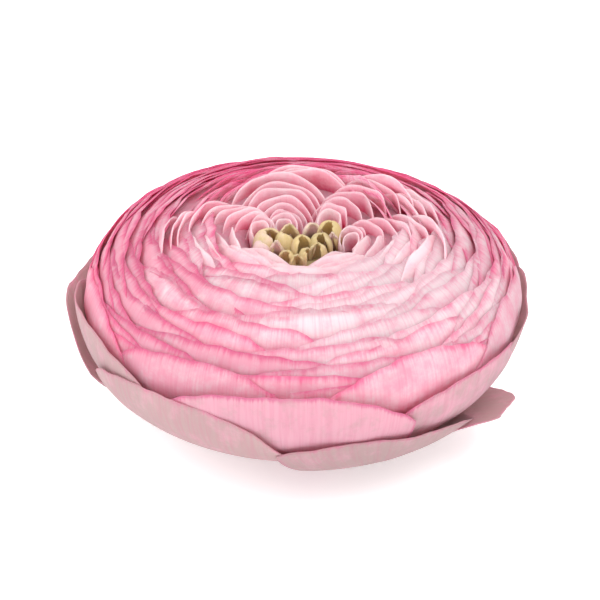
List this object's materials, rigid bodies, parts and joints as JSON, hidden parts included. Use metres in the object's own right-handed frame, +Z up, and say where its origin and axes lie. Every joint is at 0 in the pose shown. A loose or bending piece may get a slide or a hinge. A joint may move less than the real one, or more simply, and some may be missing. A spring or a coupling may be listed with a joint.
{
  "type": "ranunculus flower",
  "caption": "Full double ranunculus bloom: pale guard petals round a flattened globe of close pink petals with a small green heart, cut under the calyx.",
  "frame": {"origin": "on the surface that the bloom rests on, under the middle of its whole width and depth; the flower's own axis stands 1.03 mm to +X and 0.38 mm to +Y of it", "axes": "+Z up along the flower's axis, out of the heart; -Y towards the viewer of the picture; +X to the right in it"},
  "size_m": [0.0954, 0.0945, 0.0457],
  "materials": {
    "green_calyx": "matte, finely hairy green skin",
    "pale_petal": "matte petal, pale greyish pink with fine veins",
    "pink_petal": "matte petal, pale pink with a deeper margin and fine veins",
    "green_petal": "matte petal, olive green"
  },
  "bodies": {
    "root": {"stem_and_sepals": "green_calyx", "guard_petals": "pale_petal", "pink_petals": "pink_petal", "heart_petals": "green_petal"}
  },
  "joints": []
}
